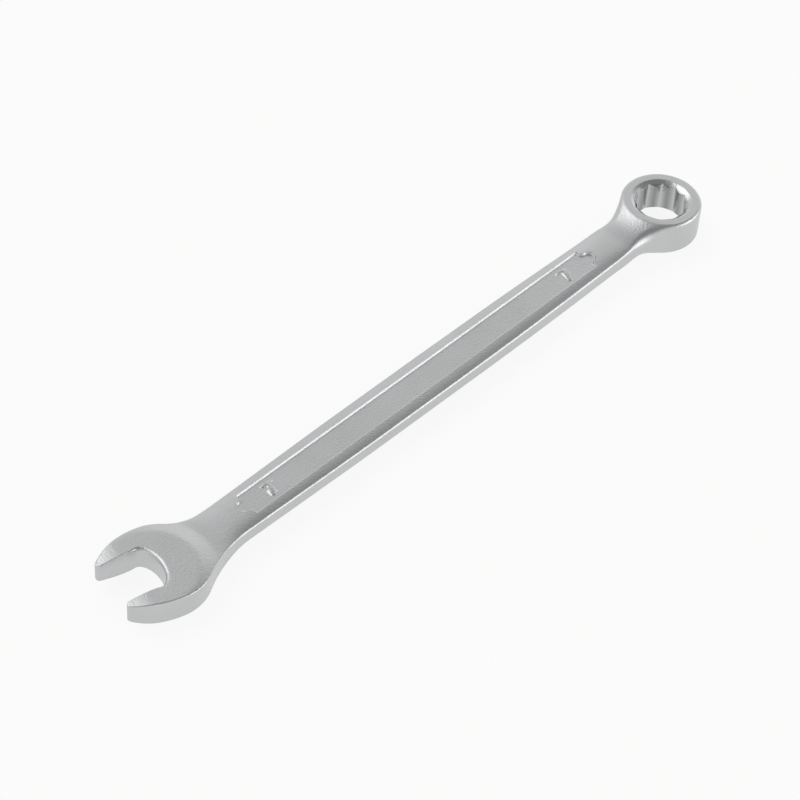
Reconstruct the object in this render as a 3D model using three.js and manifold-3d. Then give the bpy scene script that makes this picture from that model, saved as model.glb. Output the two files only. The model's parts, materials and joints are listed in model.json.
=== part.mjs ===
// A 7 mm combination wrench: an open end and a twelve-point ring end on one drop-forged shank.
// Millimetres, +Z up. It lies flat, +X runs from the open end to the ring end, and the origin is
// under the middle of its bounding box. The real tool is one forging, so the model is one solid.
import * as THREE from "three";
import { mergeVertices } from "three/addons/utils/BufferGeometryUtils.js";
import Module from "manifold-3d";

// Driving dimensions
const acrossFlats = 7; // size of the nut that both ends fit
const jawClearance = 0.08; // what the jaw gap adds to the nut
const boreClearance = 0.06; // what the ring's bore adds to the nut
const centreDistance = 101.5; // from the nut's centre in the jaws to the nut's centre in the ring

const headThickness = 3.85;
const headHalfWidth = 6.87;
const headReach = 9.6; // half-length of the ellipse that shapes the jaws' outside
const headShift = { along: 0.3, across: 0.17 }; // the head's centre, off the nut's centre
const jawAngle = THREE.MathUtils.degToRad(15);
const throatBehind = 0.5; // the throat's bottom, from the nut's centre towards the jaw tips
const throatRise = 1.9; // how far the throat's rounded corners reach towards the tips
const tipRadius = 0.55;
const tipTaper = { from: 4.5, drop: 0.5 }; // each jaw thins over its last stretch
const discShift = { along: 2.3, across: -0.2 }; // centre of the head's flat disc, in the jaws' frame
const discRadius = 6.7;
const discSlope = { length: 2.6, drop: 0.42 };

const shankWidth = 7.45;
const neckWidth = 6.8; // behind the head
const waistWidth = 6.6; // in front of the ring
const shankThickness = 3.1;
const sideHeight = 1.9; // flat part of the shank's two sides
const crown = { shoulderAt: 0.82, shoulderDrop: 0.2, flatAt: 0.55 }; // how the faces round over
const farNeckRadius = 7; // fillets between head and shank
const nearNeckRadius = 20;
const ringNeckRadius = 13; // fillets between ring and shank
const swellShares = [0.3, 0.7]; // the stretch of the shank, from neck to waist, at its full width

const ringRadius = 6.05;
const ringHeight = 5.5;
const ringEdge = 0.4;
const boreTurn = THREE.MathUtils.degToRad(7); // of the bore's points, from the shank's line
const leadInWidth = 0.45; // how far the lead-in opens past the points of the bore
const leadInDepth = 0.8;
const leadInKnee = { width: 0.6, depth: 0.5 }; // shares of both where the dish turns steeper
const ringRamping = { length: 5.5, power: 2.2 };
const rampSteps = 8;

const panelSetback = { jaws: 15, ring: 16.8 }; // from each nut's centre to the recessed panel
const panelWidth = 4.3;
const panelDepth = 0.3;
const noseLength = 1.5; // the tongue in the middle of each end of the panel
const noseWidth = 2;
const numeralHeight = 2.4;
const numeralWidth = 1.4;
const numeralStroke = 0.32;
const stemSlant = 1.2; // how much wider the stem is along the bar than the stroke
const numeralRelief = 0.15;
const numeralInset = 4.6; // from the panel's end to the numeral's middle

const curveSteps = 40;

const panelStart = panelSetback.jaws;
const panelEnd = centreDistance - panelSetback.ring;

const wasm = await Module();
wasm.setup();

// A closed geometry as a solid that can be joined and cut.
function solid(geometry) {
  const bare = geometry.index ? geometry.toNonIndexed() : geometry.clone();
  bare.deleteAttribute("normal");
  bare.deleteAttribute("uv");
  const merged = mergeVertices(bare, 1e-4);
  return new wasm.Manifold(
    new wasm.Mesh({
      numProp: 3,
      vertProperties: merged.attributes.position.array,
      triVerts: new Uint32Array(merged.index.array),
    }),
  );
}

// A shape in the XY plane, made a solid between two heights.
function slab(shape, low, high, segments = curveSteps) {
  const options = { depth: high - low, bevelEnabled: false, curveSegments: segments };
  return solid(new THREE.ExtrudeGeometry(shape, options).translate(0, 0, low));
}

// A profile of [radius, z] points turned about the vertical line through (x, y).
function turned(profile, x, y) {
  const points = profile.map(([radius, z]) => new THREE.Vector2(radius, z));
  const lathe = new THREE.LatheGeometry(points, 2 * curveSteps);
  return solid(lathe.rotateX(Math.PI / 2).translate(x, y, 0));
}

// The upper half of a profile, from the axis outwards, mirrored below the middle plane.
function mirrored(upper) {
  return [...upper.map(([radius, z]) => [radius, -z]), ...upper.toReversed()];
}

// The jaws' frame has u towards the jaw tips and v towards the shank's near side.
const turnToJaws = Math.PI - jawAngle;
function fromJaws(u, v) {
  const x = u * Math.cos(turnToJaws) - v * Math.sin(turnToJaws);
  const y = u * Math.sin(turnToJaws) + v * Math.cos(turnToJaws);
  return { x, y };
}

const headCentre = fromJaws(headShift.along, -headShift.across);
const discCentre = fromJaws(discShift.along, discShift.across);
const halfGap = (acrossFlats + jawClearance) / 2;

// The round nose of a jaw, between the outer ellipse and the gap's flat. Side is 1 on the near jaw.
function jawTip(side) {
  const flat = halfGap + side * headShift.across;
  let low = 0;
  let high = Math.PI / 2;
  while (high - low > 1e-6) {
    const angle = (low + high) / 2;
    if (noseCentre(angle).v < flat + tipRadius) low = angle;
    else high = angle;
  }
  const turn = Math.atan2(Math.sin(low) / headHalfWidth, Math.cos(low) / headReach);
  return { ...noseCentre(low), angle: low, turn };
}

// Centre of the nose that touches the outer ellipse from inside at an angle.
function noseCentre(angle) {
  const normal = new THREE.Vector2(Math.cos(angle) / headReach, Math.sin(angle) / headHalfWidth);
  normal.normalize().multiplyScalar(tipRadius);
  return {
    u: headReach * Math.cos(angle) - normal.x,
    v: headHalfWidth * Math.sin(angle) - normal.y,
  };
}

const nearTip = jawTip(1);
const farTip = jawTip(-1);
const jawReach = Math.max(nearTip.u, farTip.u) + tipRadius + headShift.along;

// The head seen from above, without its gap: an ellipse for the jaws and a half circle behind.
function headBlank() {
  const shape = new THREE.Shape();
  shape.absellipse(0, 0, headReach, headHalfWidth, nearTip.angle, Math.PI / 2, false, 0);
  shape.absarc(0, 0, headHalfWidth, Math.PI / 2, 1.5 * Math.PI, false);
  shape.absellipse(0, 0, headReach, headHalfWidth, -Math.PI / 2, -farTip.angle, false, 0);
  shape.absarc(farTip.u, -farTip.v, tipRadius, -farTip.turn, Math.PI / 2, false);
  shape.lineTo(nearTip.u, nearTip.v - tipRadius);
  shape.absarc(nearTip.u, nearTip.v, tipRadius, -Math.PI / 2, nearTip.turn, false);
  return shape;
}

// The gap between the jaws, open towards the tips, with an elliptical throat.
function gapShape() {
  const shape = new THREE.Shape();
  const corner = throatBehind + throatRise;
  shape.moveTo(jawReach + 1, -halfGap);
  shape.lineTo(jawReach + 1, halfGap);
  shape.lineTo(corner, halfGap);
  shape.absellipse(corner, 0, throatRise, halfGap, Math.PI / 2, 1.5 * Math.PI, false, 0);
  return shape;
}

// The side view that thins the jaws towards their tips, drawn in u and z.
function taperShape() {
  const half = headThickness / 2;
  const back = -headHalfWidth - 1;
  const shape = new THREE.Shape();
  shape.moveTo(back, -half);
  shape.lineTo(tipTaper.from, -half);
  shape.lineTo(jawReach, -half + tipTaper.drop);
  shape.lineTo(jawReach, half - tipTaper.drop);
  shape.lineTo(tipTaper.from, half);
  shape.lineTo(back, half);
  return shape;
}

// Centre of a fillet that touches a circle from outside and the line y = side * width.
function filletCentre(circle, radius, width, side, fillet, towards) {
  const rise = side * (width + fillet) - circle.y;
  const run = Math.sqrt((radius + fillet) ** 2 - rise ** 2);
  return { x: circle.x + towards * run, y: side * (width + fillet) };
}

// The whole tool seen from above, but for the jaws: the shank with its fillets into both ends.
function shankOutline() {
  const ringCentre = { x: centreDistance, y: 0 };
  const near = filletCentre(headCentre, headHalfWidth, neckWidth / 2, -1, nearNeckRadius, 1);
  const far = filletCentre(headCentre, headHalfWidth, neckWidth / 2, 1, farNeckRadius, 1);
  const low = filletCentre(ringCentre, ringRadius, waistWidth / 2, -1, ringNeckRadius, -1);
  const high = filletCentre(ringCentre, ringRadius, waistWidth / 2, 1, ringNeckRadius, -1);
  const angleTo = (from, to) => Math.atan2(to.y - from.y, to.x - from.x);
  const swell = (side) => {
    const [a, b] = side < 0 ? [near, low] : [high, far];
    const bulge = (side * shankWidth) / 2;
    const points = swellShares.map((share) => new THREE.Vector2(a.x + share * (b.x - a.x), bulge));
    return [...points, new THREE.Vector2(b.x, (side * (side < 0 ? waistWidth : neckWidth)) / 2)];
  };
  const shape = new THREE.Shape();
  shape.moveTo(headCentre.x, headCentre.y);
  shape.absarc(near.x, near.y, nearNeckRadius, angleTo(near, headCentre), Math.PI / 2, true);
  shape.splineThru(swell(-1));
  shape.absarc(low.x, low.y, ringNeckRadius, Math.PI / 2, angleTo(low, ringCentre), true);
  shape.lineTo(ringCentre.x, ringCentre.y);
  shape.absarc(high.x, high.y, ringNeckRadius, angleTo(high, ringCentre), -Math.PI / 2, true);
  shape.splineThru(swell(1));
  shape.absarc(far.x, far.y, farNeckRadius, -Math.PI / 2, angleTo(far, headCentre), true);
  return shape;
}

// The shank's crowned section: flat sides, and faces that round over towards them.
function shankBar() {
  const half = shankWidth / 2;
  const top = shankThickness / 2;
  const edge = sideHeight / 2;
  const shape = new THREE.Shape();
  const arch = (side) => {
    const shoulder = [side * half * crown.shoulderAt, side * (top - crown.shoulderDrop)];
    const mirroredShoulder = [-shoulder[0], shoulder[1]];
    shape.lineTo(...shoulder);
    shape.quadraticCurveTo(side * half * crown.flatAt, side * top, 0, side * top);
    shape.quadraticCurveTo(-side * half * crown.flatAt, side * top, ...mirroredShoulder);
    shape.lineTo(-side * half, side * edge);
  };
  shape.moveTo(half, -edge);
  shape.lineTo(half, edge);
  arch(1);
  shape.lineTo(-half, -edge);
  arch(-1);
  const options = { depth: centreDistance, bevelEnabled: false, curveSegments: 6 };
  const bar = new THREE.ExtrudeGeometry(shape, options);
  return solid(bar.rotateX(Math.PI / 2).rotateZ(Math.PI / 2));
}

// The head's flat disc, with the slope that falls from its rim to the neck.
function headDisc() {
  const half = headThickness / 2;
  const upper = [
    [0, half],
    [discRadius, half],
    [discRadius + discSlope.length, half - discSlope.drop],
    [discRadius + 2 * discSlope.length, 0],
  ];
  return turned(mirrored(upper), discCentre.x, discCentre.y);
}

// The ramp that rises in a hollow curve from the shank's face to the ring's.
function ringRamp() {
  const top = shankThickness / 2;
  const face = ringRadius - ringEdge;
  const steps = Array.from({ length: rampSteps + 1 }, (_, i) => i / rampSteps);
  const upper = steps.map((share) => [
    face + share * ringRamping.length,
    top + (ringHeight / 2 - top) * (1 - share) ** ringRamping.power,
  ]);
  return turned(mirrored([[0, ringHeight / 2], ...upper]), centreDistance, 0);
}

function ringWall() {
  const half = ringHeight / 2;
  const upper = [
    [0, half],
    [ringRadius - ringEdge, half],
    [ringRadius, half - ringEdge],
  ];
  return turned(mirrored(upper), centreDistance, 0);
}

function openHead() {
  const flat = { bevelEnabled: false, curveSegments: curveSteps };
  const blank = new THREE.ExtrudeGeometry(headBlank(), { ...flat, depth: headThickness })
    .translate(headShift.along, -headShift.across, -headThickness / 2)
    .rotateZ(turnToJaws);
  const taper = new THREE.ExtrudeGeometry(taperShape(), { ...flat, depth: 4 * headHalfWidth })
    .rotateX(Math.PI / 2)
    .translate(0, 2 * headHalfWidth, 0)
    .rotateZ(turnToJaws);
  return solid(blank).intersect(solid(taper)).intersect(headDisc());
}

function jawGap() {
  const options = { depth: 2 * headThickness, bevelEnabled: false, curveSegments: curveSteps };
  const gap = new THREE.ExtrudeGeometry(gapShape(), options);
  return solid(gap.translate(0, 0, -headThickness).rotateZ(turnToJaws));
}

// Two hexagons turned by thirty degrees, with a lead-in dished into each face of the ring.
function ringBore() {
  const pointRadius = (acrossFlats + boreClearance) / 2 / Math.cos(Math.PI / 6);
  const hexagon = (turn) => {
    const prism = new THREE.CylinderGeometry(pointRadius, pointRadius, 2 * ringHeight, 6);
    prism.rotateX(Math.PI / 2).rotateZ(boreTurn + turn);
    return solid(prism.translate(centreDistance, 0, 0));
  };
  const half = ringHeight / 2;
  const mouth = pointRadius + leadInWidth;
  const innerRadius = pointRadius * Math.cos(Math.PI / 6);
  const leadIn = (side) => {
    const bowl = [
      [0, half - leadInDepth],
      [innerRadius, half - leadInDepth],
      [pointRadius + leadInKnee.width * leadInWidth, half - leadInKnee.depth * leadInDepth],
      [mouth, half],
      [0, half + leadInDepth],
    ].map(([radius, z]) => [radius, side * z]);
    return turned(side > 0 ? bowl : bowl.toReversed(), centreDistance, 0);
  };
  return hexagon(0).add(hexagon(Math.PI / 6)).add(leadIn(1)).add(leadIn(-1));
}

// The recessed panel's outline: a long rectangle with a round tongue at each end.
function panelShape() {
  const half = panelWidth / 2;
  const tongue = noseWidth / 2;
  const shape = new THREE.Shape();
  shape.moveTo(panelStart, -half);
  shape.lineTo(panelEnd, -half);
  shape.lineTo(panelEnd, -tongue);
  shape.absarc(panelEnd + noseLength - tongue, 0, tongue, -Math.PI / 2, Math.PI / 2, false);
  shape.lineTo(panelEnd, tongue);
  shape.lineTo(panelEnd, half);
  shape.lineTo(panelStart, half);
  shape.lineTo(panelStart, tongue);
  shape.absarc(panelStart - noseLength + tongue, 0, tongue, Math.PI / 2, 1.5 * Math.PI, false);
  shape.lineTo(panelStart, -tongue);
  return shape;
}

// The size, 7, in two strokes, read along the shank from the open end.
function numeralShape(middle) {
  const top = numeralHeight / 2;
  const left = middle - numeralWidth / 2;
  const right = middle + numeralWidth / 2;
  const shape = new THREE.Shape();
  shape.moveTo(left, top);
  shape.lineTo(left, top - numeralStroke);
  shape.lineTo(right - stemSlant * numeralStroke, top - numeralStroke);
  shape.lineTo(middle - numeralStroke, -top);
  shape.lineTo(middle, -top);
  shape.lineTo(right, top - numeralStroke);
  shape.lineTo(right, top);
  return shape;
}

// The shank and its fillets: flat sides all along, and between the faces of shank, head and ring.
function shankAndNecks() {
  const outline = shankOutline();
  const reliefs = shankBar().add(ringRamp()).add(headDisc());
  const sides = slab(outline, -sideHeight / 2, sideHeight / 2);
  return slab(outline, -ringHeight, ringHeight).intersect(reliefs).add(sides);
}

function wrenchForging() {
  const panel = panelShape();
  const floor = shankThickness / 2 - panelDepth;
  let forging = shankAndNecks().add(openHead()).add(ringWall()).subtract(jawGap()).subtract(ringBore());
  forging = forging.subtract(slab(panel, floor, ringHeight));
  forging = forging.subtract(slab(panel, -ringHeight, -floor));
  const rooted = floor - numeralRelief;
  for (const middle of [panelStart + numeralInset, panelEnd - numeralInset]) {
    const upper = slab(numeralShape(middle), rooted, floor + numeralRelief);
    forging = forging.add(upper).add(upper.rotate([180, 0, 0]));
  }
  return forging;
}

// The solid as a geometry, moved so that its box stands on the origin.
function placed(made) {
  const mesh = made.getMesh();
  const geometry = new THREE.BufferGeometry();
  geometry.setAttribute("position", new THREE.BufferAttribute(mesh.vertProperties, 3));
  geometry.setIndex(new THREE.BufferAttribute(mesh.triVerts, 1));
  geometry.computeBoundingBox();
  const { min, max } = geometry.boundingBox;
  geometry.translate(-(min.x + max.x) / 2, -(min.y + max.y) / 2, -min.z);
  const shaded = geometry.toNonIndexed();
  shaded.computeVertexNormals();
  return shaded;
}

const chromePlate = new THREE.MeshStandardMaterial({
  color: 0xc4c6c6,
  metalness: 1,
  roughness: 0.35,
});

const wrench = new THREE.Group();
const forging = new THREE.Mesh(placed(wrenchForging()), chromePlate);
forging.name = "wrench_forging";
wrench.add(forging);

export default wrench;
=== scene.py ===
# %% [markdown]
# # A 7 mm combination wrench
# The wrench is one drop forging of chrome vanadium steel: an open end with jaws, a slim shank with a
# recessed panel, and a ring end with a twelve-point bore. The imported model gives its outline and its
# size. This lesson gives it what a forging die, a broach and a satin chrome bath leave on the metal.

import json
import math

import bpy
import numpy as np
from mathutils import Matrix, Vector

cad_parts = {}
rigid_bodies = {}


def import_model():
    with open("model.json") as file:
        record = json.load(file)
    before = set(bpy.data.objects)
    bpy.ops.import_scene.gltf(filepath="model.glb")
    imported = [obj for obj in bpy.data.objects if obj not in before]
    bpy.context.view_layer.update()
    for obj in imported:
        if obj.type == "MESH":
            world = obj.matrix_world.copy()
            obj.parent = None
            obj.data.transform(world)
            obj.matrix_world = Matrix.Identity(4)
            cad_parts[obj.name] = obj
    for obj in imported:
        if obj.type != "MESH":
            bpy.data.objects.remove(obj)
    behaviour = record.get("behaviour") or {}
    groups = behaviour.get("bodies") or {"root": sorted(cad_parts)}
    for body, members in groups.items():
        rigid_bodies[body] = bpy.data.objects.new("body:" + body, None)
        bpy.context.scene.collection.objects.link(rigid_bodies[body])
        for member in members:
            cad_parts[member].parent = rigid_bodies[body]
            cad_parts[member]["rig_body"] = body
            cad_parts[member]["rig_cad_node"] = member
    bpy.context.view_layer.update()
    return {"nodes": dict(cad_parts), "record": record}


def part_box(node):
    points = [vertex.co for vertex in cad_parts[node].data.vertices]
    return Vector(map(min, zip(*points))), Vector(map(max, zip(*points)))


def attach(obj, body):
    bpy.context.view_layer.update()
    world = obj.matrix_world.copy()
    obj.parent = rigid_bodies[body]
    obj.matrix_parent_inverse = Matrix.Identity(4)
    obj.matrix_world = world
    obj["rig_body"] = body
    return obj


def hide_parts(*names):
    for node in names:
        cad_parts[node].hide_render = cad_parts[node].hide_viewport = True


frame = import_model()
forging_node = frame["nodes"]["wrench_forging"]
mount_places = {mount["name"]: mount["pos_m"] for mount in frame["record"]["mounts"]}

# %% [markdown]
# ## Sizes
# Blender works in metres, and its bisect, inset and boolean operators have tolerances that suit sizes
# near one. A wrench is all millimetres, so the forging is modelled at one unit to the millimetre, round
# its middle plane, and brought to metres at the end. Its X axis starts at the centre of the nut that
# the jaws hold, its Y axis points to the far side, and z is zero half-way through the metal.

# %% Sizes in millimetres
MM = 0.001
centre_distance = 101.5
head_half_height = 1.925
disc_centre = Vector((-2.28, 0.37))
disc_radius = 6.69
shank_half_height = 1.45
ring_half_height = 2.75
ring_radius = 6.05
annulus_radius = 5.66
panel_start, panel_end = 15.0, 84.7
panel_half_width = 2.1

low_corner, high_corner = (Vector(corner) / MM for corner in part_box("wrench_forging"))
middle_height = (low_corner.z + high_corner.z) / 2
nut_place = Vector((high_corner.x - ring_radius - centre_distance, mount_places["ring_top"][1] / MM,
                    middle_height))
ring_centre = Vector((centre_distance, 0.0))
print("centre of the nut in the jaws, in mm", nut_place)

# %% [markdown]
# ## Working in edit mode
# An operator acts on what is selected, so each step first says which piece it edits and which faces,
# edges or corners it takes. They are picked by their place or their normal, as by eye.

# %% Helpers for edit mode
import bmesh


def choose(piece):
    """Select this piece alone, in object mode."""
    if bpy.context.mode != "OBJECT":
        bpy.ops.object.mode_set(mode="OBJECT")
    bpy.ops.object.select_all(action="DESELECT")
    piece.select_set(True)
    bpy.context.view_layer.objects.active = piece


def edit(piece):
    choose(piece)
    bpy.ops.object.mode_set(mode="EDIT")
    bpy.ops.mesh.select_all(action="SELECT")


def pick(piece, kind, test):
    """Select, in edit mode, the elements that pass a test, and say how many there are."""
    bpy.ops.mesh.select_mode(type=kind)
    bpy.ops.mesh.select_all(action="DESELECT")
    shape = bmesh.from_edit_mesh(piece.data)
    elements = {"VERT": shape.verts, "EDGE": shape.edges, "FACE": shape.faces}[kind]
    chosen = [element for element in elements if test(element)]
    for element in chosen:
        element.select_set(True)
    shape.select_flush_mode()
    bmesh.update_edit_mesh(piece.data)
    return len(chosen)


def finish_editing():
    bpy.ops.object.mode_set(mode="OBJECT")


def combine(piece, other, operation):
    """Join or cut a piece with another, which is then removed."""
    choose(piece)
    modifier = piece.modifiers.new(operation.title(), "BOOLEAN")
    modifier.operation = operation
    modifier.solver = "EXACT"
    modifier.object = other
    bpy.ops.object.modifier_apply(modifier=modifier.name)
    bpy.data.objects.remove(other)


def place_of(face):
    return face.calc_center_median()


# %% [markdown]
# ## The outline
# Seen from above, the wrench is an outline that the trimming die cuts: it is the same through the
# whole thickness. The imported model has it, so a copy of that model is cut at its middle plane with
# bisect, and what is left is the outline as a loop of edges. The loop of the bore is dropped here,
# because the bore is cut last, as it is on the real tool.

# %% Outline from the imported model
def outline_loop():
    sheet = forging_node.copy()
    sheet.data = forging_node.data.copy()
    sheet.name = "wrench_body"
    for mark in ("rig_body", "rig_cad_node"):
        del sheet[mark]
    sheet.parent = None
    bpy.context.scene.collection.objects.link(sheet)
    sheet.data.transform(Matrix.Translation(-nut_place) @ Matrix.Scale(1 / MM, 4))
    sheet.data.materials.clear()
    edit(sheet)
    bpy.ops.mesh.remove_doubles(threshold=0.001)
    bpy.ops.mesh.select_all(action="SELECT")
    bpy.ops.mesh.bisect(plane_co=(0, 0, 0), plane_no=(0, 0, 1), clear_inner=True, clear_outer=True)
    in_bore = pick(sheet, "VERT", lambda v: (v.co.xy - ring_centre).length < annulus_radius)
    bpy.ops.mesh.delete(type="VERT")
    bpy.ops.mesh.select_all(action="SELECT")
    bpy.ops.mesh.remove_doubles(threshold=0.04)
    bpy.ops.mesh.select_all(action="SELECT")
    bpy.ops.mesh.edge_face_add()
    bpy.ops.mesh.dissolve_limited(angle_limit=math.radians(0.3))
    finish_editing()
    print("corners dropped with the bore", in_bore, "corners of the outline", len(sheet.data.vertices),
          "faces", len(sheet.data.polygons))
    return sheet


body = outline_loop()
outline = np.array([body.data.vertices[i].co.xy for i in body.data.polygons[0].vertices])

# %% [markdown]
# ## A flat slab with everything drawn on it
# A continuous relief is hard to model in one go, and flat shapes are easy. So the outline is extruded
# into a slab with a flat top, the panel and the rows of faces along the edges are made on that flat
# top, and the slab is then sliced into small faces. The relief comes after that and carries all of it
# up and down. Only the upper half is made, because the two halves of the die match.

# %% Slab
slab_top = 4.0


def extrude_slab(sheet):
    edit(sheet)
    bpy.ops.mesh.extrude_region_move(TRANSFORM_OT_translate={"value": (0, 0, slab_top)})
    bpy.ops.mesh.select_all(action="SELECT")
    bpy.ops.mesh.normals_make_consistent(inside=False)
    finish_editing()
    print("slab faces", len(sheet.data.polygons))


extrude_slab(body)

# %% [markdown]
# ## The panel's outline
# Both faces of the shank have a long recessed panel whose ends are drawn like a bracket: square
# corners, hollow shoulders and a round nose. A Bezier curve draws such an outline with few points,
# straight where its handles are vectors and round where they are automatic. One end is listed, and the
# other ones are its mirror images.

# %% Panel cutter
nose_length = 1.5
nose_half_width = 0.95
# Distance past the panel's end, and distance from the middle line.
nose_points = [(0.0, panel_half_width, "VECTOR"), (0.0, 1.35, "AUTO"), (0.3, 1.08, "AUTO"),
               (0.85, nose_half_width, "AUTO"), (1.32, 0.55, "AUTO"), (nose_length, 0.0, "AUTO")]
imprint_depth = 0.04


def panel_corners():
    half = nose_points + [(past, -across, kind) for past, across, kind in reversed(nose_points[:-1])]
    ring_side = [(panel_end + past, across, kind) for past, across, kind in half]
    jaw_side = [(panel_start - past, -across, kind) for past, across, kind in half]
    return ring_side + jaw_side


def panel_cutter():
    drawing = bpy.data.curves.new("panel_cutter", "CURVE")
    drawing.dimensions = "2D"
    drawing.fill_mode = "BOTH"
    drawing.extrude = 1.0
    drawing.resolution_u = 6
    stroke = drawing.splines.new("BEZIER")
    corners = panel_corners()
    stroke.bezier_points.add(len(corners) - 1)
    for point, (x, y, kind) in zip(stroke.bezier_points, corners):
        point.co = (x, y, 0)
        point.handle_left_type = point.handle_right_type = kind
    stroke.use_cyclic_u = True
    cutter = bpy.data.objects.new("panel_cutter", drawing)
    bpy.context.scene.collection.objects.link(cutter)
    choose(cutter)
    bpy.ops.object.convert(target="MESH")
    edit(cutter)
    bpy.ops.transform.translate(value=(0, 0, slab_top + drawing.extrude - imprint_depth))
    bpy.ops.mesh.remove_doubles(threshold=0.001)
    bpy.ops.mesh.dissolve_limited(angle_limit=math.radians(0.1))
    finish_editing()
    return cutter


combine(body, panel_cutter(), "DIFFERENCE")
print("faces with the panel drawn in", len(body.data.polygons))

# %% [markdown]
# ## The panel's wall
# The die leaves a wall that leans and a soft foot, or the forging would stick in it. Inset makes both:
# each step moves the edge of the floor inwards by a little and down by a little, and the steps follow
# the wall's profile.

# %% Panel wall and floor
wall_steps = [(0.02, 0.02), (0.03, 0.04), (0.03, 0.05), (0.03, 0.05), (0.03, 0.05), (0.03, 0.03),
              (0.02, 0.01)]


def on_panel_floor(face):
    middle = place_of(face)
    return face.normal.z > 0.9 and 1.0 < middle.z < slab_top - imprint_depth / 2


def sink_panel(slab):
    edit(slab)
    count = pick(slab, "FACE", on_panel_floor)
    for run, fall in wall_steps:
        bpy.ops.mesh.inset(thickness=run, depth=-fall, use_even_offset=True)
    finish_editing()
    lowest = min(v.co.z for v in slab.data.vertices if v.co.z > 1.0)
    print("floor faces", count, "depth of the panel", round(slab_top - lowest, 3))


sink_panel(body)

# %% [markdown]
# ## Rows of faces along the edges
# Every edge of the real tool is rounded, by the die and by tumbling before it is plated. The rounding
# comes with the relief, and needs a few narrow rows of faces beside each edge to show. Inset with no
# depth makes them all along the outline, the jaws and the panel at once.

# %% Rows along the edges
row_widths = [0.03, 0.04, 0.05, 0.07, 0.09, 0.11]


def on_slab_top(face):
    return face.normal.z > 0.9 and place_of(face).z > slab_top - imprint_depth / 2


def add_edge_rows(slab):
    edit(slab)
    pick(slab, "FACE", on_slab_top)
    for width in row_widths:
        bpy.ops.mesh.inset(thickness=width, depth=0, use_even_offset=True)
    finish_editing()
    print("faces with the rows", len(slab.data.polygons))


add_edge_rows(body)

# %% [markdown]
# ## Slices
# The flat top still has a few huge faces, which can't follow a relief. Bisect slices them along planes,
# close together at both ends, where the shape changes fast, and wider along the shank.

# %% Slices across and along
fine_slice = 0.22
shank_slice = 0.8
head_zone = (-11.0, 13.0)
ring_zone = (86.0, 108.0)


def slice_planes():
    fine_head = np.arange(*head_zone, fine_slice)
    along_shank = np.arange(head_zone[1], ring_zone[0], shank_slice)
    fine_ring = np.arange(*ring_zone, fine_slice)
    return np.concatenate([fine_head, along_shank, fine_ring])


def slice_up(slab):
    edit(slab)
    for x in slice_planes():
        bpy.ops.mesh.select_all(action="SELECT")
        bpy.ops.mesh.bisect(plane_co=(x, 0, 0), plane_no=(1, 0, 0))
    half_width = outline[:, 1].max() + 1
    for y in np.arange(-half_width, half_width, fine_slice):
        bpy.ops.mesh.select_all(action="SELECT")
        bpy.ops.mesh.bisect(plane_co=(0, y, 0), plane_no=(0, 1, 0))
    finish_editing()
    print("faces after slicing", len(slab.data.polygons))


slice_up(body)

# %% [markdown]
# ## The relief
# The height of the upper surface is a formula of the place, built from what the die is: a flat disc
# round the jaws whose rim slopes to the neck, a crowned shank, and a hollow ramp up to the ring's flat
# face. The highest of the three wins, with a soft corner between them. Near the outline the surface
# rounds over by an edge radius, which is small along the shank, wide where the ramp runs into the
# ring, and wide round the throat of the jaws.

# %% Shape of the die
side_half_height = 0.9
disc_slope = 0.2
ramp_length = 5.6
ramp_power = 2.2
crown_width = 3.7
jaw_angle = math.radians(15)
tip_taper_start, tip_taper_length, tip_taper_drop = 4.3, 3.7, 0.55
shank_edge, head_edge, ring_edge, throat_edge, jaw_edge = 0.24, 0.2, 0.36, 0.5, 0.12
ramp_edge_extra = 1.15


def step_up(value, start, end):
    """A smooth step from 0 at start to 1 at end; end may be the smaller one."""
    share = np.clip((value - start) / (end - start), 0, 1)
    return share * share * (3 - 2 * share)


def soft_larger(a, b, softness):
    """The larger of two heights, rounded where they cross."""
    return (a + b + np.sqrt((a - b) ** 2 + softness ** 2)) / 2


def jaw_frame(x, y):
    """Distance towards the jaw tips, and distance across the jaws."""
    along = -x * math.cos(jaw_angle) + y * math.sin(jaw_angle)
    across = x * math.sin(jaw_angle) + y * math.cos(jaw_angle)
    return along, across


def shank_height(x):
    return shank_half_height - 0.02 + 0.17 * step_up(x, 45, 86)


def die_height(x, y):
    """Height above the middle plane, without the rounding of the edges."""
    from_disc = np.hypot(x - disc_centre.x, y - disc_centre.y) - disc_radius
    past_rim = soft_larger(from_disc, 0, 0.25)
    head = head_half_height - disc_slope * past_rim
    along, _ = jaw_frame(x, y)
    head = head - tip_taper_drop * np.clip((along - tip_taper_start) / tip_taper_length, 0, 1) ** 1.5
    from_ring = np.hypot(x - ring_centre.x, y) - annulus_radius
    left = 1 - np.clip(from_ring / ramp_length, 0, 1)
    ramp = shank_height(x) + (ring_half_height - shank_height(x)) * left ** ramp_power
    shank = np.where(from_ring < ramp_length, ramp, shank_height(x))
    return np.where(x < head_zone[1] + 2, soft_larger(head, shank, 0.08), shank)


def edge_radius(x, y):
    along, across = jaw_frame(x, y)
    from_nut = np.hypot(x, y)
    inside_head = step_up(from_nut, 5.6, 5.0)
    in_throat = inside_head * step_up(along, 3.2, 1.6)
    at_jaw_flats = step_up(along, 2.4, 3.2) * step_up(np.abs(across), 4.2, 3.8)
    on_shank = step_up(x, 6, 11)
    radius = head_edge + (shank_edge - head_edge) * on_shank
    radius = radius + (throat_edge - radius) * in_throat
    radius = radius + (jaw_edge - radius) * at_jaw_flats * (1 - in_throat)
    radius = radius + ramp_edge_extra * np.exp(-((x - 94.4) / 2.8) ** 2)
    return radius + (ring_edge - radius) * step_up(x, 96.8, 99.2)


def rounding(distance, radius):
    """How far a quarter circle has dropped at a distance from the outline."""
    inside = radius - np.minimum(distance, radius)
    return radius - np.sqrt(radius ** 2 - inside ** 2)


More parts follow.
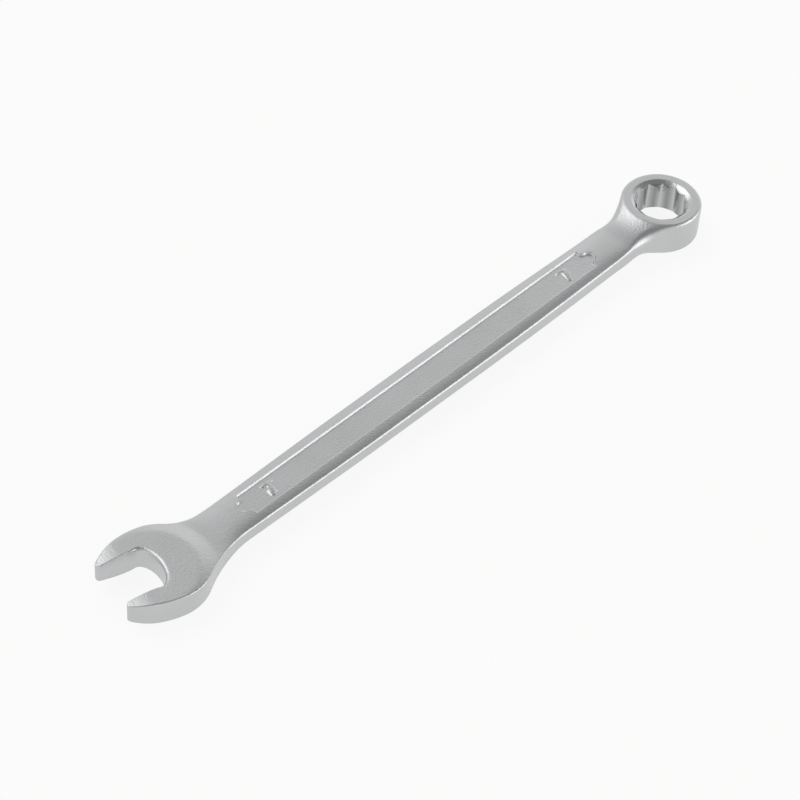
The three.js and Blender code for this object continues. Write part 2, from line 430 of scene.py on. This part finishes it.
def crown_drop(distance, x):
    """The shank's faces fall away from the middle, ever steeper towards the sides."""
    nearness = np.clip(1 - distance / crown_width, 0, 1) / 1.02
    amount = shank_height(x) - side_half_height + 0.05
    on_shank = step_up(x, 5, 12) * step_up(x, 97, 86)
    return on_shank * amount * (1 - (1 - nearness ** 3) ** 0.6)


# %% [markdown]
# The distance from the outline is measured to each of its straight pieces, and the nearest one counts.

# %% Distance from the outline
def distance_from_outline(points):
    starts = outline
    spans = np.roll(outline, -1, axis=0) - outline
    nearest = np.full(len(points), np.inf)
    for start, span in zip(starts, spans):
        share = np.clip((points - start) @ span / (span @ span), 0, 1)
        gap = points - start - share[:, None] * span
        nearest = np.minimum(nearest, np.hypot(gap[:, 0], gap[:, 1]))
    return nearest


def corners_of(piece):
    places = np.empty(3 * len(piece.data.vertices))
    piece.data.vertices.foreach_get("co", places)
    return places.reshape(-1, 3)


def put_corners(piece, places):
    piece.data.vertices.foreach_set("co", places.ravel())
    piece.data.update()


def strike(slab):
    """Carry the flat top and all that is drawn on it to the die's relief."""
    places = corners_of(slab)
    upper = places[:, 2] > 1.0
    x, y = places[upper, 0], places[upper, 1]
    distance = distance_from_outline(places[upper, :2])
    in_panel = places[upper, 2] < slab_top - 1e-4
    at_rim = crown_drop(np.full_like(x, crown_width - panel_half_width), x)
    at_edge = rounding(distance, edge_radius(x, y)) + crown_drop(distance, x)
    drop = np.where(in_panel, at_rim, at_edge)
    places[upper, 2] += die_height(x, y) - drop - slab_top
    put_corners(slab, places)
    print("heights of the relief", places[upper, 2].min().round(3), places[upper, 2].max().round(3))


strike(body)

# %% [markdown]
# ## The other half
# The lower die is the mirror image of the upper one. The slab's underside, at the middle plane, is
# deleted, and the Mirror modifier adds the lower half and joins it along the trimmed edge.

# %% Mirror
def add_lower_half(half):
    edit(half)
    pick(half, "FACE", lambda face: abs(place_of(face).z) < 1e-4 and abs(face.normal.z) > 0.9)
    bpy.ops.mesh.delete(type="FACE")
    finish_editing()
    mirror = half.modifiers.new("Lower half", "MIRROR")
    mirror.use_axis = (False, False, True)
    mirror.merge_threshold = 0.001
    bpy.ops.object.modifier_apply(modifier=mirror.name)
    edit(half)
    bpy.ops.mesh.normals_make_consistent(inside=False)
    finish_editing()
    print("faces of both halves", len(half.data.polygons))


add_lower_half(body)

# %% [markdown]
# ## The bore
# A ring end is pierced and broached after forging, so its edges are crisp. The cutter has the shape of
# the broach: a cylinder of 24 corners, of which every other one is pulled in, which gives two hexagons
# turned by thirty degrees. The lead-in on each face comes from a countersink, a cylinder whose end is
# drawn out to a cone by one inset.

# %% Broach and countersinks
across_flats = 7.06
point_radius = across_flats / 2 / math.cos(math.pi / 6)
inner_radius = across_flats / 2 / math.cos(math.pi / 12)
bore_turn = math.radians(7)
mouth_radius, dish_width, dish_depth = 4.5, 0.9, 0.75


def broach():
    bpy.ops.mesh.primitive_cylinder_add(vertices=24, radius=point_radius, depth=3 * ring_half_height,
                                        location=(ring_centre.x, 0, 0))
    tool = bpy.context.object
    bpy.ops.object.transform_apply(location=True, rotation=False, scale=False)
    edit(tool)

    def is_inner(corner):
        turn = math.atan2(corner.co.y, corner.co.x - ring_centre.x)
        return round(turn / math.radians(15)) % 2 == 1

    pick(tool, "VERT", is_inner)
    pull = inner_radius / point_radius
    bpy.ops.transform.resize(value=(pull, pull, 1), center_override=(ring_centre.x, 0, 0))
    pick(tool, "EDGE", lambda edge: abs(edge.verts[0].co.z - edge.verts[1].co.z) > 1)
    bpy.ops.mesh.bevel(offset=0.09, segments=2)
    bpy.ops.mesh.select_all(action="SELECT")
    bpy.ops.transform.rotate(value=-bore_turn, orient_axis="Z", center_override=(ring_centre.x, 0, 0))
    finish_editing()
    return tool


def countersink(side):
    bpy.ops.mesh.primitive_cylinder_add(vertices=96, radius=mouth_radius, depth=1.0,
                                        location=(ring_centre.x, 0, side * (ring_half_height + 0.5)))
    tool = bpy.context.object
    bpy.ops.object.transform_apply(location=True, rotation=False, scale=False)
    edit(tool)
    pick(tool, "FACE", lambda face: face.normal.z * side < -0.9)
    bpy.ops.mesh.inset(thickness=dish_width, depth=dish_depth, use_even_offset=True)
    finish_editing()
    return tool


combine(body, broach(), "DIFFERENCE")
for side in (1, -1):
    combine(body, countersink(side), "DIFFERENCE")
print("faces with the bore", len(body.data.polygons))

# %% [markdown]
# ## The size numerals
# The die leaves a raised 7 near each end of the panel, on both faces. A text object draws it, with a
# small bevel, since struck numerals have soft edges. It is made a mesh before it goes to its place, is
# copied to the four places, and is joined to the forging.

# %% Numerals
numeral_height = 2.4
numeral_relief = 0.13
numeral_inset = 4.6
letter_share = 0.7  # height of a numeral as a share of the font's size


def numeral(x, side):
    bpy.ops.object.text_add()
    seven = bpy.context.object
    seven.data.body = "7"
    seven.data.align_x = "CENTER"
    seven.data.align_y = "CENTER"
    seven.data.size = numeral_height / letter_share
    seven.data.extrude = 0.25
    seven.data.bevel_depth = 0.05
    seven.data.bevel_resolution = 1
    seven.data.resolution_u = 4
    choose(seven)
    bpy.ops.object.convert(target="MESH")
    edit(seven)
    bpy.ops.mesh.remove_doubles(threshold=0.0005)
    bpy.ops.mesh.select_all(action="SELECT")
    bpy.ops.mesh.normals_make_consistent(inside=False)
    finish_editing()
    places = corners_of(seven)
    middle = (places.min(axis=0) + places.max(axis=0)) / 2
    places -= middle
    places[:, 2] += floor_height(x) + numeral_relief - places[:, 2].max()
    places[:, 0] += x
    places[:, 1:] *= side
    put_corners(seven, places)
    return seven


def floor_height(x):
    """Height of the panel's floor: the deepest corner of the body near there."""
    places = corners_of(body)
    near = (np.abs(places[:, 0] - x) < 0.8) & (np.abs(places[:, 1]) < 1.5) & (places[:, 2] > 0.5)
    return places[near, 2].min()


for x in (panel_start + numeral_inset, panel_end - numeral_inset):
    for side in (1, -1):
        combine(body, numeral(x, side), "UNION")
print("floor of the panel", floor_height(50.0), "faces with the numerals", len(body.data.polygons))

# %% [markdown]
# ## Back to metres
# The piece goes to its place in the frame and to metres, with its object left at the origin. It shades
# smooth, but for the corners that the broach and the countersinks cut.

# %% Finish the mesh
def bring_to_frame(piece):
    piece.data.transform(Matrix.Scale(MM, 4) @ Matrix.Translation(nut_place))
    choose(piece)
    bpy.ops.object.shade_smooth_by_angle(angle=math.radians(38))
    low, high = (Vector(corner) for corner in (piece.bound_box[0], piece.bound_box[6]))
    print("wrench in metres", low, high, "corners", len(piece.data.vertices))


bring_to_frame(body)
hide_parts("wrench_forging")
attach(body, "root")

# %% [markdown]
# ## Satin chrome
# The forging is blasted with fine beads, then plated with nickel and a thin coat of chromium. Chromium
# is a metal, so its colour is that of its reflections: a light grey with a trace of blue. The blasting
# leaves a pearly grain of about 0.15 mm that scatters the reflections, which is the roughness and a
# shallow bump, and the plate's shade drifts a little over a few millimetres. The countersinks are cut
# after blasting, so they are brighter: the roughness falls off close to the axis of the bore. On the
# bore's walls the metal is painted darker, which is painted shade for the inside of the bore.

# %% Material
def linear(hex_colour):
    """An sRGB colour such as c8cacb as linear red, green, blue and alpha."""
    channels = [int(hex_colour[i:i + 2], 16) / 255 for i in (0, 2, 4)]
    curve = [c / 12.92 if c <= 0.04045 else ((c + 0.055) / 1.055) ** 2.4 for c in channels]
    return (*curve, 1.0)


def add_node(material, kind, inputs=None, **settings):
    """Add a node, set its properties, and give its inputs values or links."""
    node = material.node_tree.nodes.new(kind)
    for name, value in settings.items():
        setattr(node, name, value)
    for name, value in (inputs or {}).items():
        if isinstance(value, bpy.types.NodeSocket):
            material.node_tree.links.new(value, node.inputs[name])
        else:
            node.inputs[name].default_value = value
    return node


def new_material(name):
    material = bpy.data.materials.new(name)
    material.use_nodes = True
    return material, material.node_tree.nodes["Principled BSDF"]


grain_mm = 0.24
drift_mm = 6.0
chrome_hex = "c9cbcc"
chrome_shade_hex = "bfc1c1"
# painted shade: a darker metal colour for the walls of the bore
bore_painted_shade_hex = "8f9090"
blasted_roughness = 0.33
cut_roughness = 0.16


def satin_chrome():
    material, shader = new_material("satin_chrome_plate_on_beadblasted_steel")
    links = material.node_tree.links
    place = add_node(material, "ShaderNodeTexCoord").outputs["Object"]
    drift = add_node(material, "ShaderNodeTexNoise",
                     {"Vector": place, "Scale": 1 / (drift_mm * MM), "Detail": 2.0}).outputs["Fac"]
    shade = add_node(material, "ShaderNodeMix", {"Factor": drift}, data_type="RGBA")
    shade.inputs[6].default_value = linear(chrome_hex)
    shade.inputs[7].default_value = linear(chrome_shade_hex)
    grain = add_node(material, "ShaderNodeTexNoise",
                     {"Vector": place, "Scale": 1 / (grain_mm * MM), "Detail": 1.5}).outputs["Fac"]
    bump = add_node(material, "ShaderNodeBump", {"Height": grain, "Strength": 0.6,
                                                 "Distance": 0.06 * MM})
    links.new(bump.outputs["Normal"], shader.inputs["Normal"])
    bore_axis = (nut_place + Vector((ring_centre.x, 0, 0))) * MM
    from_axis = add_node(material, "ShaderNodeVectorMath", {0: place, 1: (bore_axis.x, bore_axis.y, 0)},
                         operation="SUBTRACT").outputs[0]
    flat = add_node(material, "ShaderNodeVectorMath", {0: from_axis, 1: (1, 1, 0)},
                    operation="MULTIPLY").outputs[0]
    radius = add_node(material, "ShaderNodeVectorMath", {0: flat}, operation="LENGTH").outputs["Value"]
    roughness = add_node(material, "ShaderNodeMapRange",
                         {"Value": radius, "From Min": (mouth_radius - 0.1) * MM,
                          "From Max": mouth_radius * MM, "To Min": cut_roughness,
                          "To Max": blasted_roughness})
    links.new(roughness.outputs["Result"], shader.inputs["Roughness"])
    # painted shade: the metal darkens on the bore's walls and fades out towards the points of the bore
    bore_shade_share = add_node(material, "ShaderNodeMapRange",
                    {"Value": radius, "From Min": inner_radius * MM, "From Max": point_radius * MM,
                     "To Min": 1.0, "To Max": 0.0})
    colour_with_bore_shade = add_node(material, "ShaderNodeMix", {"Factor": bore_shade_share.outputs["Result"]}, data_type="RGBA")
    links.new(shade.outputs[2], colour_with_bore_shade.inputs[6])
    colour_with_bore_shade.inputs[7].default_value = linear(bore_painted_shade_hex)
    links.new(colour_with_bore_shade.outputs[2], shader.inputs["Base Color"])
    shader.inputs["Metallic"].default_value = 1.0
    return material


body.data.materials.clear()
body.data.materials.append(satin_chrome())
print("materials", [material.name for material in body.data.materials])

# %% [markdown]
# ## Floor and light
# Polished and satin metal show their surroundings, so a product like this is lit in a tent: a white
# floor that runs on behind as the backdrop, and panels round it. The panels are painted on the world by
# direction. The floor turns white to the camera, and to what the metal reflects, by way of Light Path.

# %% Floor and world
floor_size = 3.0
glow_share = 0.88  # the rest of the floor is paper, which keeps the wrench's soft shadow


def white_floor():
    bpy.ops.mesh.primitive_plane_add(size=floor_size, location=(0, 0, -0.00002))
    floor = bpy.context.object
    floor.name = "floor"
    material, shader = new_material("white_paper_floor")
    shader.inputs["Base Color"].default_value = linear("f4f3f0")
    shader.inputs["Roughness"].default_value = 0.9
    nodes, links = material.node_tree.nodes, material.node_tree.links
    glow = add_node(material, "ShaderNodeEmission", {"Color": (1, 1, 1, 1), "Strength": 1.0})
    path = add_node(material, "ShaderNodeLightPath")
    seen = add_node(material, "ShaderNodeMath", {0: path.outputs["Is Camera Ray"],
                                                 1: path.outputs["Is Glossy Ray"]}, operation="ADD")
    seen = add_node(material, "ShaderNodeMath", {0: seen.outputs[0],
                                                 1: path.outputs["Is Transmission Ray"]},
                    operation="ADD", use_clamp=True)
    share = add_node(material, "ShaderNodeMath", {0: seen.outputs[0], 1: glow_share},
                     operation="MULTIPLY")
    mix = add_node(material, "ShaderNodeMixShader", {0: share.outputs[0], 1: shader.outputs[0],
                                                     2: glow.outputs[0]})
    links.new(mix.outputs[0], nodes["Material Output"].inputs["Surface"])
    floor.data.materials.append(material)
    return floor


# Direction of the middle of each panel, the angles in degrees to where it starts and ends its fade, and
# its brightness.
tent_level = 0.82
tent_panels = [
    ((0.22, -0.22, 0.95), 12, 53, 0.3),  # the dark panel overhead
    ((-0.35, -0.45, 0.82), 10, 40, 0.3),  # its end over the jaws
    ((0.5, -0.85, 0.1), 8, 42, 2.2),  # the bright strip in front, low down
    ((-0.2, 0.6, 0.78), 8, 30, 2.1),  # the window behind, high up
    ((0.9, 0.42, 0.25), 8, 32, 1.2),  # the light wall behind the ring
]


def tent_world():
    world = bpy.data.worlds.new("tent")
    bpy.context.scene.world = world
    world.use_nodes = True
    background = world.node_tree.nodes["Background"]
    direction = add_node(world, "ShaderNodeTexCoord").outputs["Generated"]
    level = tent_level
    for middle, inner, outer, brightness in tent_panels:
        towards = add_node(world, "ShaderNodeVectorMath", {0: direction,
                                                           1: Vector(middle).normalized()},
                           operation="DOT_PRODUCT").outputs["Value"]
        share = add_node(world, "ShaderNodeMapRange",
                         {"Value": towards, "From Min": math.cos(math.radians(outer)),
                          "From Max": math.cos(math.radians(inner))},
                         interpolation_type="SMOOTHSTEP").outputs["Result"]
        level = add_node(world, "ShaderNodeMix", {"Factor": share, "A": level, "B": brightness},
                         data_type="FLOAT").outputs["Result"]
    world.node_tree.links.new(level, background.inputs["Color"])


white_floor()
tent_world()
print("panels of the tent", len(tent_panels))

# %% [markdown]
# ## Camera
# The camera stands well back with a long lens, as for a catalogue picture, and looks down at the wrench
# from the left, by about the same angle round it and above it. It is rolled a few degrees.

# %% Camera
azimuth, elevation, roll = math.radians(-49.72), math.radians(45.56), math.radians(4.30)
camera_distance = 0.400
aim = (nut_place + Vector((45.014, 0.04, 0))) * MM
focal_length_mm = 129.53


def place_camera():
    back = Vector((math.sin(azimuth) * math.cos(elevation), -math.cos(azimuth) * math.cos(elevation),
                   math.sin(elevation)))
    level_right = Vector((math.cos(azimuth), math.sin(azimuth), 0))
    level_up = back.cross(level_right)
    right = math.cos(roll) * level_right + math.sin(roll) * level_up
    up = math.cos(roll) * level_up - math.sin(roll) * level_right
    lens = bpy.data.cameras.new("camera")
    lens.lens = focal_length_mm
    lens.clip_start = 0.01
    camera = bpy.data.objects.new("camera", lens)
    turn = Matrix((right, up, back)).transposed().to_4x4()
    camera.matrix_world = Matrix.Translation(aim + camera_distance * back) @ turn
    bpy.context.scene.collection.objects.link(camera)
    bpy.context.scene.camera = camera
    print("camera at", camera.location)


place_camera()
bpy.context.scene.view_settings.view_transform = "Standard"
